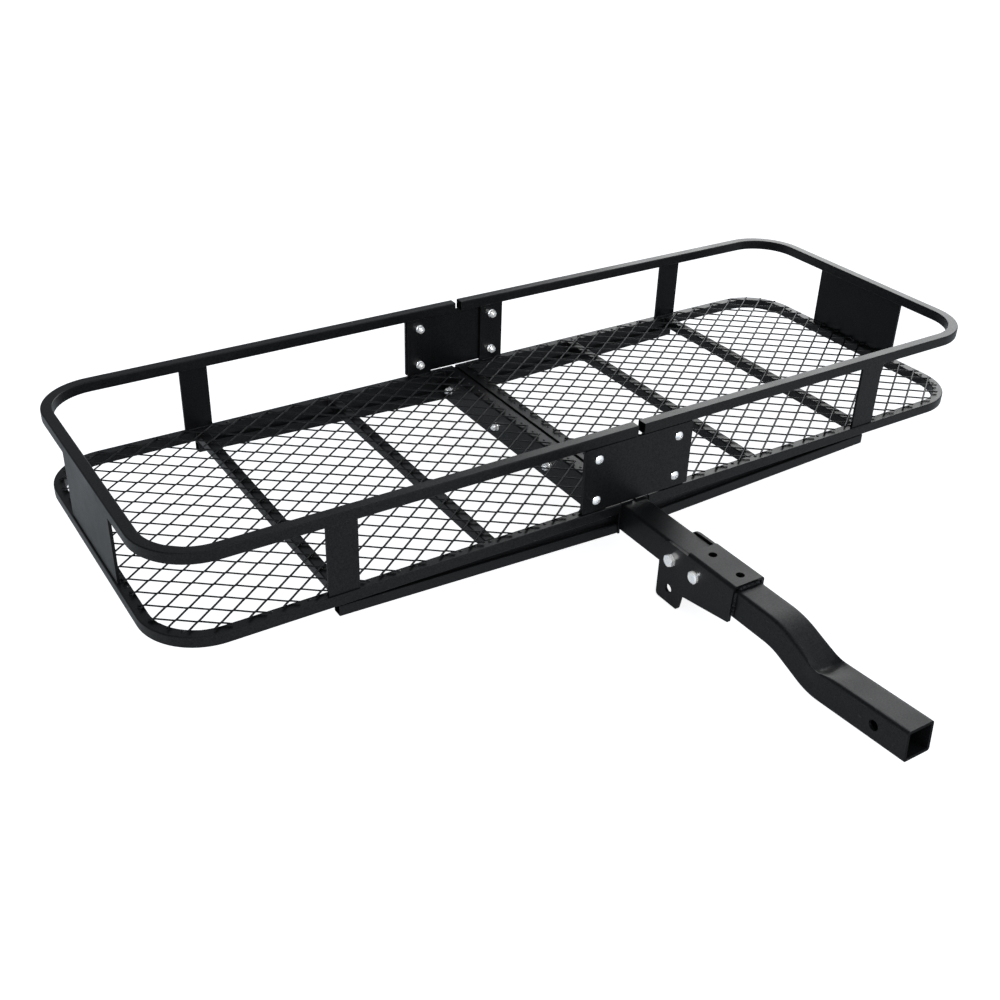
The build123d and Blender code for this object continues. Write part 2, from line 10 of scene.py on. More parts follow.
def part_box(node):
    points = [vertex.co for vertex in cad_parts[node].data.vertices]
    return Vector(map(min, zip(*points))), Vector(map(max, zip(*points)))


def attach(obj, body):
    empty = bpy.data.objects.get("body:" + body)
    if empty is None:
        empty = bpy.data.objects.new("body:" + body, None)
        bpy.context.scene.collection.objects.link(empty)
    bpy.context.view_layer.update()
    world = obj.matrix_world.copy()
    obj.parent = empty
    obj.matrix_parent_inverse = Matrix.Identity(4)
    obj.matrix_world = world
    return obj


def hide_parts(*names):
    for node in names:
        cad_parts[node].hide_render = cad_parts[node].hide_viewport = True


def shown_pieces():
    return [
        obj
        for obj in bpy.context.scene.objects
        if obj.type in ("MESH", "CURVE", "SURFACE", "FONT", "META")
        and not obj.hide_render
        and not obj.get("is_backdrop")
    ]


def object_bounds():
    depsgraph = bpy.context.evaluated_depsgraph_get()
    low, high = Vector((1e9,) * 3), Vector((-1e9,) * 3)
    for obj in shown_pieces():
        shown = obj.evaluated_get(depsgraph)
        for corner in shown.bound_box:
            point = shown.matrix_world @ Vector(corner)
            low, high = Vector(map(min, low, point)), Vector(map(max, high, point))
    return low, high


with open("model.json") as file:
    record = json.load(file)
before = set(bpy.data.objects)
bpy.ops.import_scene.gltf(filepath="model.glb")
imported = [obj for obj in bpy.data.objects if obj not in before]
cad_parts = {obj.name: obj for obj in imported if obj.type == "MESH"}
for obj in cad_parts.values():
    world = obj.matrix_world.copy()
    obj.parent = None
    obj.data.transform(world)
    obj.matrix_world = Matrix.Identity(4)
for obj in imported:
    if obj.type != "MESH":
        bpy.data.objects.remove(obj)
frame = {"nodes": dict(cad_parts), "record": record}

# Folding basket cargo carrier.  Metres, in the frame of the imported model: the origin is the
# hitch pin hole, +X runs along the basket, +Y away from the vehicle and +Z is up.

MM = 0.001
CAD_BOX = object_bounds()
RANDOM = random.Random(7)
BASKET, HITCH = "basket", "hitch"
REBUILT = ("shank", "left_floor_mesh", "right_floor_mesh")

# ---- sizes that only the visual pieces need ------------------------------------------
# The expanded metal floor.
STRAND_WIDTH = 3.7 * MM          # across a mesh strand's flat side
STRAND_THICK = 2.5 * MM
STRAND_TILT = math.radians(36)   # how far a strand leans out of the floor's plane
STRAND_CHAMFER = 0.6 * MM
DIAMOND_LONG = 52.4 * MM
DIAMOND_SHORT = 37.7 * MM
DIAMOND_START = (-15.6 * MM, 3.3 * MM)   # one knuckle, from the split and the basket's middle
KNUCKLE = 0.7 * MM               # half length of the joint between two strands
KNUCKLE_OVERLAP = 0.6            # share of a strand's width that stays its own at a knuckle
STRAND_STATIONS = (0.0, 0.09, 0.13, 0.22, 0.5, 0.78, 0.87, 0.91)   # shares of half a diamond
STRAND_EASE = 0.08               # how much a strand's path is eased at its knuckles
SHORTEST_STRAND = 2 * MM         # shorter offcuts at the sheet's edge are left out
MESH_CORNER = 89.5 * MM          # corner radius of the mesh sheet

# Welds.
BEAD = 2.2 * MM                  # radius of a small weld bead
BEAD_RIPPLE = 1.9 * MM           # spacing of a bead's ripples
BEAD_RIPPLE_DEPTH = 0.10         # as a share of the bead's radius
BEAD_SIDES = 10
BEAD_INSET = 4 * MM              # from an upright's edge to the end of its bead
END_PLATE_BEADS = (0.0, 0.44, 0.88)     # starts of an end plate's beads, as shares of its width
END_PLATE_BEAD = 0.12            # length of each, as a share of the width
BAR_BEAD_INSET = 2 * MM
RAIL_BEAD_INSET = 1 * MM
BRACKET_BEAD = 3.6 * MM
BRACKET_BEAD_AHEAD = 0.8 * MM    # from the bracket's vehicle end to its beads' middle
BRACKET_BEAD_LEAN = 1 * MM       # how far the feet of the side beads lean back
BRACKET_BEAD_RISE = 1.5 * MM     # from the shank's top to the upper bead's middle
BRACKET_BEAD_ASIDE = 0.6 * MM    # from the shank's sides to the side beads' middle
BRACKET_LUMPS = 0.16             # unevenness of the bracket's hand-laid beads
NUGGET_LEVELS = 5
NUGGET_SIDES = 12
NUGGET_LUMPS = (0.12, 0.07)      # depths of a nugget's three-lobed and five-lobed waves
NUGGET_FLATNESS = 0.55           # height of a nugget as a share of its radius
NUGGET_QUARTER = 4.4             # levels in a quarter turn, so that a nugget ends in a small cap
SPLIT_TACK = 2.4 * MM            # radii of the tack welds at the split, on the bars, on the rails
BAR_TACK = 2.5 * MM
RIM_TACK = 3.0 * MM
TACK_INSET = 2 * MM              # from the sheet's edge to a tack weld
TACK_MARGIN = 12 * MM            # bare stretch of the split and bars beside the rails
TACK_SCATTER = 1 * MM            # how far a tack at the split strays from its strand
TACK_REACH = 1 * MM              # how far past a bar's side a strand's knuckle is still tacked
RIM_TACK_SCATTER = 0.2           # stray of a tack on the rails, as a share of half a diamond
RIM_TACK_SHARE = 0.6             # share of strand ends on the rails that are tacked
CORNER_TACKS = 7                 # spaces between tack welds round a corner

# The bent shank.
SHANK_HALF = 25.4 * MM           # half its width
SHANK_CORNER = 4.5 * MM
SHANK_INNER_CORNER = 1.0 * MM
SHANK_WALL = 4.8 * MM
SHANK_PITCH = math.radians(3.9)  # tilt of the receiver end
SHANK_UPPER_BEND = (197.0 * MM, 120.0 * MM)    # place along Y, centreline radius
SHANK_LOWER_BEND = (120.0 * MM, 80.0 * MM)
SHANK_PINCH = 9.5 * MM           # depth of the dent on the inside of the lower bend
SHANK_PINCH_REACH = 25.0 * MM
SHANK_PINCH_WAVE = (0.12, 2.6)   # share and rate of the ripple along the dent
SHANK_CORNER_DROP = 0.8 * MM     # how far the top corners sink at the dent
SHANK_BULGE = 0.07               # share by which the sides swell beside the dent
PIN_HOLE_RADIUS = 8.35 * MM
PIN_TO_END = 57.0 * MM
SHANK_STEP = 2.5 * MM            # between its sections
BEND_POINTS = 12
SHANK_EDGE = 0.4 * MM

# Fasteners.
SPLICE_BOLT_PITCH = 76.2 * MM
SPLICE_GRIP = 18.4 * MM          # from a splice plate's outer face to the end of its nuts
TRAY_BOLT_PITCH = 173.0 * MM
THREAD_LENGTH = 3.6 * MM         # threaded tip past a nut
SMALL_THREAD = (4.0 * MM, 1.25 * MM)    # radius and pitch
HINGE_THREAD = (6.35 * MM, 1.95 * MM)
THREAD_ROOT = 1.005              # share of the bolt's radius, so that it covers the plain bolt
THREAD_DEPTH = 0.055             # share of the bolt's radius
THREAD_SIDES = 28
THREAD_RINGS = 6                 # rings to one turn of thread
ZINC_EDGE = 0.25 * MM            # rounding of the kept nodes' edges
COATED_EDGE = 0.45 * MM
EDGE_ANGLE = math.radians(38)    # sharper corners than this are rounded
MERGE_DISTANCE = 0.005 * MM

# ---- studio values -------------------------------------------------------------------
SKY_LEFT = 0.17                  # strengths of the sky that lights the object
SKY_RIGHT = 0.45
SKY_FRONT = 0.36
SKY_TOP = 1.6
SKY_TINT = (0.86, 0.93, 1.0, 1.0)
FLOOR_GLOW_SEEN = 0.86           # glow that the camera sees, and that the object reflects
FLOOR_GLOW_MIRRORED = 0.11
FLOOR_SIZE = 25.0
FLOOR_DROP = 0.2 * MM            # below the object's lowest point
# Each soft box: its place, the point it is aimed at, its side and its power.
RIGHT_SOFTBOX = ((3.2, 2.9, 1.8), (0.0, 0.8, 0.1), 2.8, 82.0)
HARDWARE_SOFTBOX = ((-1.8, -0.9, 2.0), (0.0, 0.6, 0.1), 1.2, 320.0)
REAR_HARDWARE_SOFTBOX = ((2.0, 3.4, 2.0), (0.0, 0.8, 0.1), 1.2, 160.0)
CAMERA_PLACE = (-1.18095, -0.81238, 1.14107)
CAMERA_ANGLES = (-33.36, 31.38, 1.917)   # azimuth, elevation and roll in degrees
CAMERA_LENS = 45.35              # mm, on a sensor 36 mm wide
CAMERA_SENSOR = 36.0
CAMERA_REACH = 100.0


# ---- node helpers --------------------------------------------------------------------
def node(tree, kind, **values):
    """A shader node with its properties and unlinked inputs set."""
    made = tree.nodes.new(kind)
    for key, value in values.items():
        if hasattr(made, key):
            setattr(made, key, value)
        else:
            made.inputs[key.replace("_", " ")].default_value = value
    return made


def noise(tree, coords, scale, detail=3.0, roughness=0.55):
    """A noise texture's factor at one scale, in cycles per metre."""
    made = node(tree, "ShaderNodeTexNoise", Scale=scale, Detail=detail, Roughness=roughness)
    tree.links.new(coords, made.inputs["Vector"])
    return made.outputs["Fac"]


def remap(tree, value, low, high, to_low, to_high):
    """A value moved from one range to another and held inside it."""
    made = node(tree, "ShaderNodeMapRange", clamp=True)
    for key, number in (("From Min", low), ("From Max", high), ("To Min", to_low), ("To Max", to_high)):
        made.inputs[key].default_value = number
    tree.links.new(value, made.inputs["Value"])
    return made.outputs["Result"]


def spread(tree, value, low, high):
    """A noise's usual range, stretched to run from low to high."""
    return remap(tree, value, 0.3, 0.7, low, high)


def math_node(tree, operation, a, b):
    """The result of one arithmetic operation on sockets or numbers."""
    made = node(tree, "ShaderNodeMath", operation=operation)
    for slot, value in zip(made.inputs, (a, b)):
        if isinstance(value, (int, float)):
            slot.default_value = value
        else:
            tree.links.new(value, slot)
    return made.outputs[0]


def blend_colour(tree, factor, first, second):
    """Two colours mixed by a factor."""
    made = node(tree, "ShaderNodeMix", data_type="RGBA")
    tree.links.new(factor, made.inputs["Factor"])
    for slot, value in ((made.inputs[6], first), (made.inputs[7], second)):
        if isinstance(value, tuple):
            slot.default_value = value
        else:
            tree.links.new(value, slot)
    return made.outputs[2]


def bump(tree, height, strength, distance):
    """A bumped normal from a height."""
    made = node(tree, "ShaderNodeBump", Strength=strength, Distance=distance)
    tree.links.new(height, made.inputs["Height"])
    return made.outputs["Normal"]


def grey(level, blue=1.0):
    """A grey, or a slightly blue one."""
    return (level, level, level * blue, 1.0)


def start_material(name):
    """An empty node material: its tree, its principled shader and object coordinates."""
    material = bpy.data.materials.new(name)
    material.use_nodes = True
    tree = material.node_tree
    shader = tree.nodes["Principled BSDF"]
    coords = node(tree, "ShaderNodeTexCoord").outputs["Object"]
    return material, tree, shader, coords


def edge_mask(tree, radius):
    """Near 1 within a radius of an outside corner, and 0 on flat faces."""
    rounded = node(tree, "ShaderNodeBevel", samples=4, Radius=radius)
    geometry = node(tree, "ShaderNodeNewGeometry")
    dot = node(tree, "ShaderNodeVectorMath", operation="DOT_PRODUCT")
    tree.links.new(rounded.outputs["Normal"], dot.inputs[0])
    tree.links.new(geometry.outputs["Normal"], dot.inputs[1])
    return remap(tree, dot.outputs["Value"], 0.995, 0.90, 0.0, 1.0)


# ---- materials -----------------------------------------------------------------------
def powder_coat(name, level, roughness, grain, edge_wear_and_highlight=0.5, scuffed=False):
    """Satin black powder coat: fine orange peel, mottled sheen, dust specks, lighter edges (thin
    coat and painted highlight) and, on a scuffed piece, pale rubbed streaks."""
    material, tree, shader, coords = start_material(name)
    patches = noise(tree, coords, 14.0, detail=4.0)
    mottle = noise(tree, coords, 420.0, detail=2.0)
    peel = noise(tree, coords, grain, detail=2.0, roughness=0.6)
    base = blend_colour(tree, spread(tree, patches, 0.0, 1.0),
                        grey(level * 0.8, 1.06), grey(level * 1.25, 1.04))
    # Lighter edges: partly a thin, worn coat, partly a painted highlight along the rounded edges.
    thin_coat_and_edge_highlight = math_node(tree, "MULTIPLY", edge_mask(tree, 0.9 * MM),
                     remap(tree, mottle, 0.35, 0.65, 0.2, edge_wear_and_highlight))
    base = blend_colour(tree, thin_coat_and_edge_highlight, base, grey(level * 5.0, 1.02))
    specks = node(tree, "ShaderNodeTexVoronoi", Scale=260.0 if scuffed else 330.0, Randomness=1.0)
    tree.links.new(coords, specks.inputs["Vector"])
    dots = remap(tree, specks.outputs["Distance"], 0.10, 0.05, 0.0, 1.0)
    dots = math_node(tree, "MULTIPLY", dots, remap(tree, patches, 0.45, 0.65, 0.0, 0.5))
    base = blend_colour(tree, dots, base, grey(0.40 if scuffed else 0.16))
    if scuffed:
        streaks = node(tree, "ShaderNodeMapping")
        streaks.inputs["Scale"].default_value = (1.0, 0.35, 1.0)
        tree.links.new(coords, streaks.inputs["Vector"])
        scratches = noise(tree, streaks.outputs["Vector"], 190.0, detail=5.0)
        rubbed = remap(tree, scratches, 0.66, 0.72, 0.0, 0.55)
        base = blend_colour(tree, rubbed, base, grey(0.07))
    tree.links.new(base, shader.inputs["Base Color"])
    sheen = math_node(tree, "ADD", spread(tree, mottle, -0.05, 0.05),
                      spread(tree, patches, roughness - 0.04, roughness + 0.05))
    tree.links.new(sheen, shader.inputs["Roughness"])
    tree.links.new(spread(tree, mottle, 0.20, 0.40), shader.inputs["Specular IOR Level"])
    height = math_node(tree, "ADD", math_node(tree, "MULTIPLY", peel, 0.7),
                       math_node(tree, "MULTIPLY", mottle, 0.6))
    tree.links.new(bump(tree, height, 0.35, 0.12 * MM), shader.inputs["Normal"])
    return material


def zinc_plate(name):
    """Bright zinc: brushed sheen, faint blue and straw tints, darker pits and painted shade in
    recesses.
    """
    material, tree, shader, coords = start_material(name)
    stretch = node(tree, "ShaderNodeMapping")
    stretch.inputs["Scale"].default_value = (1.0, 1.0, 6.0)
    tree.links.new(coords, stretch.inputs["Vector"])
    brushed = noise(tree, stretch.outputs["Vector"], 900.0, detail=3.0)
    tint = noise(tree, coords, 130.0, detail=3.0)
    base = blend_colour(tree, remap(tree, tint, 0.35, 0.65, 0.0, 1.0),
                        (0.84, 0.87, 0.92, 1.0), (0.93, 0.92, 0.88, 1.0))
    pits = remap(tree, noise(tree, coords, 700.0, detail=4.0), 0.62, 0.72, 0.0, 0.5)
    base = blend_colour(tree, pits, base, (0.30, 0.31, 0.33, 1.0))
    # Painted shade: near black where ambient occlusion finds a recess, such as sockets and the rims
    # where heads meet the parts beneath.
    hollow = node(tree, "ShaderNodeAmbientOcclusion", samples=8, only_local=False, Distance=4 * MM)
    painted_recess_shade = remap(tree, hollow.outputs["AO"], 0.25, 0.75, 0.9, 0.0)
    base = blend_colour(tree, painted_recess_shade, base, (0.02, 0.02, 0.022, 1.0))
    tree.links.new(base, shader.inputs["Base Color"])
    shader.inputs["Metallic"].default_value = 0.85
    tree.links.new(spread(tree, brushed, 0.16, 0.32), shader.inputs["Roughness"])
    tree.links.new(bump(tree, brushed, 0.25, 0.05 * MM), shader.inputs["Normal"])
    return material


def floor_paper():
    """A pale lit studio floor with a barely uneven surface, softer in reflections."""
    material, tree, shader, coords = start_material("studio_floor")
    clouds = noise(tree, coords, 1.5, detail=3.0)
    base = blend_colour(tree, clouds, grey(0.93), grey(0.95))
    tree.links.new(base, shader.inputs["Base Color"])
    shader.inputs["Roughness"].default_value = 0.85
    shader.inputs["Specular IOR Level"].default_value = 0.1
    seen = node(tree, "ShaderNodeLightPath").outputs["Is Camera Ray"]
    tree.links.new(blend_colour(tree, seen, SKY_TINT, grey(1.0)), shader.inputs["Emission Color"])
    glow = remap(tree, seen, 0.0, 1.0, FLOOR_GLOW_MIRRORED, FLOOR_GLOW_SEEN)
    tree.links.new(glow, shader.inputs["Emission Strength"])
    return material


MATERIALS = {
    "black_frame": powder_coat("satin_black_frame", 0.0080, 0.35, 1500.0),
    "black_mesh": powder_coat("satin_black_mesh", 0.0070, 0.38, 1800.0, edge_wear_and_highlight=0.8),
    "black_hitch_steel": powder_coat("satin_black_hitch", 0.0090, 0.40, 1100.0),
    "zinc_hardware": zinc_plate("bright_zinc"),
}
SHANK_COAT = powder_coat("satin_black_shank", 0.0090, 0.42, 1000.0, scuffed=True)
# A darker, matter black on the shank's cut end rims.
CUT_END_COAT = powder_coat("darker_black_cut_end", 0.0025, 0.85, 1000.0)
WELD_COAT = powder_coat("coated_weld", 0.0120, 0.22, 1200.0, edge_wear_and_highlight=0.9)


# ---- mesh helpers --------------------------------------------------------------------
def skin(bm, rings, capped=True):
    """Quads between rings of equal length, and a cap on each end."""
    rows = [[bm.verts.new(point) for point in ring] for ring in rings]
    count = len(rows[0])
    for first, second in zip(rows, rows[1:]):
        for k in range(count):
            bm.faces.new((first[k], first[(k + 1) % count], second[(k + 1) % count], second[k]))
    if capped:
        bm.faces.new(list(reversed(rows[0])))
        bm.faces.new(rows[-1])
    return rows


def make_piece(name, bm, body, slot, sharp=35.0, material=None):
    """A finished piece from a bmesh: shaded, painted and riding on its body."""
    bmesh.ops.recalc_face_normals(bm, faces=bm.faces)
    mesh = bpy.data.meshes.new(name)
    bm.to_mesh(mesh)
    bm.free()
    for polygon in mesh.polygons:
        polygon.use_smooth = True
    mesh.set_sharp_from_angle(angle=math.radians(sharp))
    piece = bpy.data.objects.new(name, mesh)
    bpy.context.scene.collection.objects.link(piece)
    mesh.materials.append(material or MATERIALS[slot])
    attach(piece, body)
    return piece


def copies(bm, places):
    """A new bmesh that holds the given one at each place."""
    template = bpy.data.meshes.new("template")
    bm.to_mesh(template)
    bm.free()
    joined = bmesh.new()
    for place in places:
        start = len(joined.verts)
        joined.from_mesh(template)
        joined.verts.ensure_lookup_table()
        bmesh.ops.transform(joined, matrix=place, verts=joined.verts[start:])
    bpy.data.meshes.remove(template)
    return joined


def looking(direction, point):
    """A place whose local Z runs along a direction."""
    turn = Vector(direction).to_track_quat("Z", "Y").to_matrix().to_4x4()
    return Matrix.Translation(point) @ turn


def cut(bm, cutter):
    """The first bmesh less the second."""
    pieces = []
    for name, source in (("body", bm), ("cutter", cutter)):
        mesh = bpy.data.meshes.new(name)
        bmesh.ops.recalc_face_normals(source, faces=source.faces)
        source.to_mesh(mesh)
        source.free()
        pieces.append(bpy.data.objects.new(name, mesh))
        bpy.context.scene.collection.objects.link(pieces[-1])
    body, tool = pieces
    modifier = body.modifiers.new("cut", "BOOLEAN")
    modifier.operation = "DIFFERENCE"
    modifier.solver = "EXACT"
    modifier.object = tool
    graph = bpy.context.evaluated_depsgraph_get()
    result = bmesh.new()
    result.from_object(body, graph)
    for piece in pieces:
        bpy.data.objects.remove(piece)
    return result


# ---- expanded metal floor ------------------------------------------------------------
def inside_sheet(x, y, low, high, outer):
    """Whether a point is on the sheet: square at the split, rounded at the outer end."""
    if not (low.x <= x <= high.x and low.y <= y <= high.y):
        return False
    over_x = max(0.0, MESH_CORNER - abs(x - outer))
    over_y = max(0.0, MESH_CORNER - min(y - low.y, high.y - y))
    return math.hypot(over_x, over_y) <= MESH_CORNER


def strand_line(row, columns, side, middle, height):
    """Points along one zigzag strand, from the split outwards."""
    lean_y = KNUCKLE_OVERLAP * STRAND_WIDTH / 2 * math.cos(STRAND_TILT)
    lean_z = KNUCKLE_OVERLAP * STRAND_WIDTH / 2 * math.sin(STRAND_TILT)
    step_x, step_y = DIAMOND_LONG / 2, DIAMOND_SHORT / 2
    base = middle + DIAMOND_START[1] + row * step_y
    ends = ((base + lean_y, height - lean_z), (base + step_y - lean_y, height + lean_z))
    points = []
    for column in range(-1, columns):
        x = DIAMOND_START[0] - column * step_x
        here, there = (ends if (column + row) % 2 == 0 else ends[::-1])
        for part in STRAND_STATIONS:
            along = (part - KNUCKLE / step_x) / (1 - 2 * KNUCKLE / step_x)
            along = min(1.0, max(0.0, along))
            eased = (1 - STRAND_EASE) * along + STRAND_EASE * along * along * (3 - 2 * along)
            y = here[0] + (there[0] - here[0]) * eased
            z = here[1] + (there[1] - here[1]) * eased
            points.append(Vector((side * -(x - part * step_x), y, z)))
    return points


def clip_runs(points, low, high, outer):
    """The stretches of a line that lie on the sheet, cut exactly at its edge."""
    runs, run = [], []
    for first, second in zip(points, points[1:]):
        in_first = inside_sheet(first.x, first.y, low, high, outer)
        in_second = inside_sheet(second.x, second.y, low, high, outer)
        if in_first:
            run.append(first)
        if in_first != in_second:
            near, far = (first, second) if in_first else (second, first)
            for _ in range(14):
                half = (near + far) / 2
                if inside_sheet(half.x, half.y, low, high, outer):
                    near = half
                else:
                    far = half
            run.append(near.copy())
            if in_first:
                runs.append(run)
                run = []
    if run:
        runs.append(run)
    return [run for run in runs if (run[0] - run[-1]).length > SHORTEST_STRAND]


def strand_rings(run):
    """Tilted, chamfered rectangles along a strand."""
    half_w, half_t, edge = STRAND_WIDTH / 2, STRAND_THICK / 2, STRAND_CHAMFER
    outline = ((half_w, half_t - edge), (half_w - edge, half_t), (edge - half_w, half_t),
               (-half_w, half_t - edge), (-half_w, edge - half_t), (edge - half_w, -half_t),
               (half_w - edge, -half_t), (half_w, edge - half_t))
    rings = []
    for k, point in enumerate(run):
        along = (run[min(k + 1, len(run) - 1)] - run[max(k - 1, 0)]).normalized()
        across = Vector((-along.y, along.x, 0.0)).normalized()
        if across.y < 0:
            across = -across
        wide = across * math.cos(STRAND_TILT) - Vector((0, 0, 1)) * math.sin(STRAND_TILT)
        wide = (wide - along * wide.dot(along)).normalized()
        thick = along.cross(wide)
        rings.append([point + wide * u + thick * v for u, v in outline])
    return rings


def floor_mesh(side, name):
    """One half of the raised expanded metal floor."""
    low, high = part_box(name)
    outer = low.x if side < 0 else high.x
    middle = (low.y + high.y) / 2
    height = low.z + STRAND_WIDTH * math.sin(STRAND_TILT) + STRAND_THICK / 2
    rows = int((high.y - low.y) / DIAMOND_SHORT) + 2
    columns = int((high.x - low.x) / (DIAMOND_LONG / 2)) + 3
    bm = bmesh.new()
    for row in range(-rows, rows + 1):
        line = strand_line(row, columns, side, middle, height)
        for run in clip_runs(line, low, high, outer):
            skin(bm, strand_rings(run))
    piece = make_piece(name + "_strands", bm, BASKET, "black_mesh", sharp=50.0)
    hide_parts(name)


# ---- welds ---------------------------------------------------------------------------
def bead(bm, start, end, radius=BEAD, lumpy=0.05):
    """A rippled weld bead between two points, half sunk in the corner it fills."""
    along = end - start
    length = along.length
    along.normalize()
    side = along.orthogonal().normalized()
    up = along.cross(side)
    count = max(6, int(length / (BEAD_RIPPLE / 3)))
    rings = []
    for k in range(count + 1):
        share = k / count
        taper = math.sqrt(max(0.04, 1 - abs(2 * share - 1) ** (length / radius)))
        ripple = 1 + BEAD_RIPPLE_DEPTH * math.cos(2 * math.pi * share * length / BEAD_RIPPLE)
        size = radius * taper * ripple * (1 + RANDOM.uniform(-lumpy, lumpy))
        middle = start + along * share * length
        rings.append([middle + (side * math.cos(a) + up * math.sin(a)) * size
                      for a in (2 * math.pi * n / BEAD_SIDES for n in range(BEAD_SIDES))])
    skin(bm, rings)


def nugget(bm, point, size):
    """A small lumpy tack weld on a level surface."""
    rings = []
    lobes_3, lobes_5 = NUGGET_LUMPS
    phase = RANDOM.uniform(0, math.tau)
    for level in range(NUGGET_LEVELS):
        tilt = math.pi / 2 * level / NUGGET_QUARTER
        ring = []
        for n in range(NUGGET_SIDES):
            angle = math.tau * n / NUGGET_SIDES
            lump = 1 + lobes_3 * math.sin(3 * angle + phase) + lobes_5 * math.sin(5 * angle - phase)
            reach = size * math.cos(tilt) * lump
            ring.append(point + Vector((reach * math.cos(angle), reach * math.sin(angle),
                                        size * NUGGET_FLATNESS * math.sin(tilt))))
        rings.append(ring)
    skin(bm, rings)


def upright_welds():
    """Beads at the feet and heads of the posts and end plates."""
    bm = bmesh.new()
    for side in ("left", "right"):
        for name in ("front_post", "rear_post", "front_splice_post", "rear_splice_post", "end_plate"):
            low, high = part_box(f"{side}_{name}")
            inner_y = high.y if "front" in name else low.y
            inner_x = high.x if side == "left" else low.x
            for z in (low.z, high.z):
                if name == "end_plate":
                    span = high.y - low.y
                    for share in END_PLATE_BEADS:
                        first = Vector((inner_x, low.y + span * share, z))
                        bead(bm, first, first + Vector((0, span * END_PLATE_BEAD, 0)))
                else:
                    bead(bm, Vector((low.x + BEAD_INSET, inner_y, z)),
                         Vector((high.x - BEAD_INSET, inner_y, z)))
    make_piece("upright_welds", bm, BASKET, "black_frame", material=WELD_COAT)


def cross_bar_welds():
    """Beads where the cross bars meet the lower rails."""
    bm = bmesh.new()
    for side in ("left", "right"):
        for name in ("outer_cross_bar", "inner_cross_bar"):
            low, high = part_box(f"{side}_{name}")
            for y in (low.y, high.y):
                for x in (low.x, high.x):
                    bead(bm, Vector((x, y, low.z + BAR_BEAD_INSET)),
                         Vector((x, y, high.z - BAR_BEAD_INSET)))
                bead(bm, Vector((low.x + BAR_BEAD_INSET, y, low.z)),
                     Vector((high.x - BAR_BEAD_INSET, y, low.z)))
        low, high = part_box(f"{side}_centre_angle")
        rail_low, rail_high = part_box(f"{side}_lower_rail")
        x = low.x if side == "left" else high.x
        depth = rail_high.z - rail_low.z
        for y in (rail_low.y + depth, rail_high.y - depth):
            bead(bm, Vector((x, y, rail_low.z + RAIL_BEAD_INSET)),
                 Vector((x, y, rail_high.z - RAIL_BEAD_INSET)))
    make_piece("floor_frame_welds", bm, BASKET, "black_frame", material=WELD_COAT)


def bracket_welds():
    """The bead around the shank at the hinge bracket's vehicle end."""
    bm = bmesh.new()
    tube_low, tube_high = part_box("centre_tube")
    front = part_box("hinge_bracket")[0].y - BRACKET_BEAD_AHEAD
    level = tube_high.z + BRACKET_BEAD_RISE
    inset = SHANK_CORNER
    bead(bm, Vector((tube_low.x + inset, front, level)), Vector((tube_high.x - inset, front, level)),
         BRACKET_BEAD, BRACKET_LUMPS)
    for x in (tube_low.x - BRACKET_BEAD_ASIDE, tube_high.x + BRACKET_BEAD_ASIDE):
        bead(bm, Vector((x, front + BRACKET_BEAD_LEAN, tube_low.z + inset)),
             Vector((x, front, tube_high.z - inset / 2)), BRACKET_BEAD, BRACKET_LUMPS)
    make_piece("bracket_welds", bm, HITCH, "black_hitch_steel", material=WELD_COAT)


def rim_curve(end_x, sign, low, high, step):
    """Places along the mesh sheet's outer end and round its two corners, a step apart."""
    places = []
    count = int((high.y - low.y - 2 * MESH_CORNER) / step)
    for k in range(count + 1):
        y = low.y + MESH_CORNER + k * step
        places.append(Vector((end_x - sign * TACK_INSET, y, low.z)))
    for centre_y, way in ((low.y + MESH_CORNER, -1), (high.y - MESH_CORNER, 1)):
        for k in range(1, CORNER_TACKS):
            angle = math.pi / 2 * k / CORNER_TACKS
            reach = MESH_CORNER - TACK_INSET
            places.append(Vector((end_x - sign * (MESH_CORNER - reach * math.cos(angle)),
                                  centre_y + way * reach * math.sin(angle), low.z)))
    return places


def mesh_tacks():
    """Tack welds that hold the floor mesh down."""
    bm = bmesh.new()
    step_x, step_y = DIAMOND_LONG / 2, DIAMOND_SHORT / 2
    for side, sign in (("left", -1), ("right", 1)):
        low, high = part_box(f"{side}_floor_mesh")
        middle = (low.y + high.y) / 2
        split = high.x if sign < 0 else low.x
        rows = int((high.y - low.y) / DIAMOND_SHORT) + 1
        for row in range(-rows, rows + 1):
            y = middle + DIAMOND_START[1] + row * step_y
            if not low.y + TACK_MARGIN < y < high.y - TACK_MARGIN:
                continue
            if row % 2:
                stray = RANDOM.uniform(-1, 1) * TACK_SCATTER
                nugget(bm, Vector((split, y + stray, low.z)), SPLIT_TACK)
            for name in ("outer_cross_bar", "inner_cross_bar"):
                bar_low, bar_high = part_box(f"{side}_{name}")
                bar_x = (bar_low.x + bar_high.x) / 2
                column = round((sign * bar_x + DIAMOND_START[0]) / step_x)
                column += (column + row) % 2
                x = -sign * (DIAMOND_START[0] - column * step_x)
                if bar_low.x - TACK_REACH < x < bar_high.x + TACK_REACH:
                    nugget(bm, Vector((x, y, low.z)), BAR_TACK)
        steps = int((high.x - low.x - MESH_CORNER) / step_x)
        for edge, inward in ((low.y, 1), (high.y, -1)):
            for step in range(1, steps):
                if RANDOM.random() < RIM_TACK_SHARE:
                    stray = RANDOM.uniform(-RIM_TACK_SCATTER, RIM_TACK_SCATTER)
                    x = split + sign * (step + stray) * step_x
                    nugget(bm, Vector((x, edge + inward * TACK_INSET, low.z)), RIM_TACK)
        end_x = low.x if sign < 0 else high.x
        for place in rim_curve(end_x, sign, low, high, step_y):
            if RANDOM.random() < RIM_TACK_SHARE:
                nugget(bm, place, RIM_TACK)
    make_piece("mesh_tack_welds", bm, BASKET, "black_mesh", material=WELD_COAT)


